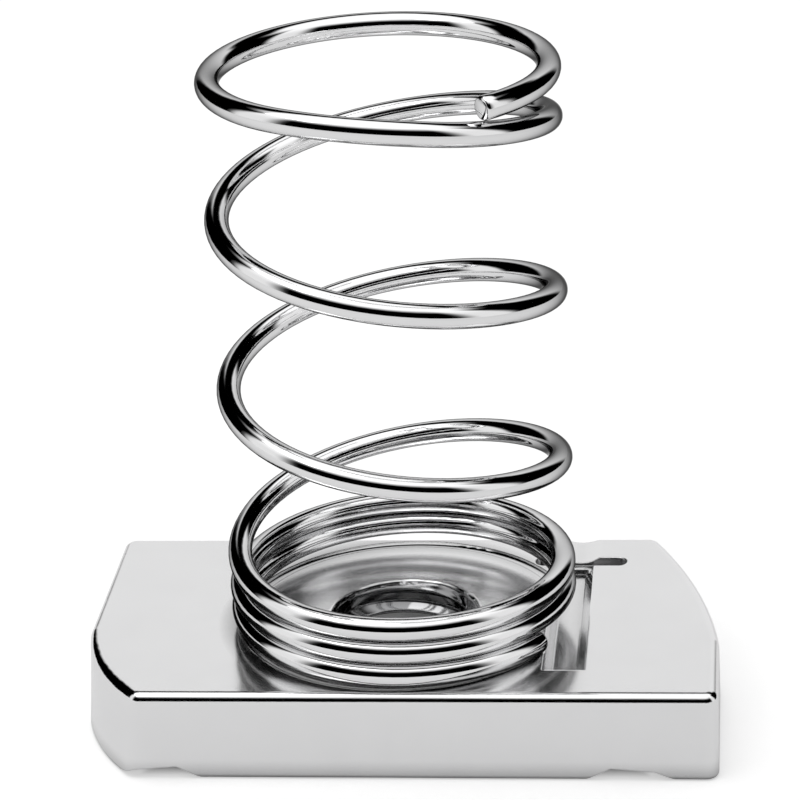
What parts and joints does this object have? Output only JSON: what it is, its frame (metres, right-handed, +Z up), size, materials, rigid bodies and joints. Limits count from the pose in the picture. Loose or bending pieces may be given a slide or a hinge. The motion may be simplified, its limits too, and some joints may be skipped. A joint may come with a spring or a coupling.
{
  "type": "strut spring nut",
  "caption": "Threaded steel nut plate that twists into a strut channel, with a long wire spring that holds it against the channel's lips.",
  "frame": {"origin": "middle of the nut plate's underside, on the axis of the threaded hole", "axes": "+Z up through the spring, +X along the plate, across the channel, +Y along the channel"},
  "size_m": [0.0346, 0.0196, 0.0369],
  "materials": {
    "nut_plate": "bright zinc plate, satin top, polished edges",
    "spring": "polished spring wire"
  },
  "bodies": {
    "root": {"nut_plate": "nut_plate", "spring": "spring"}
  },
  "joints": []
}
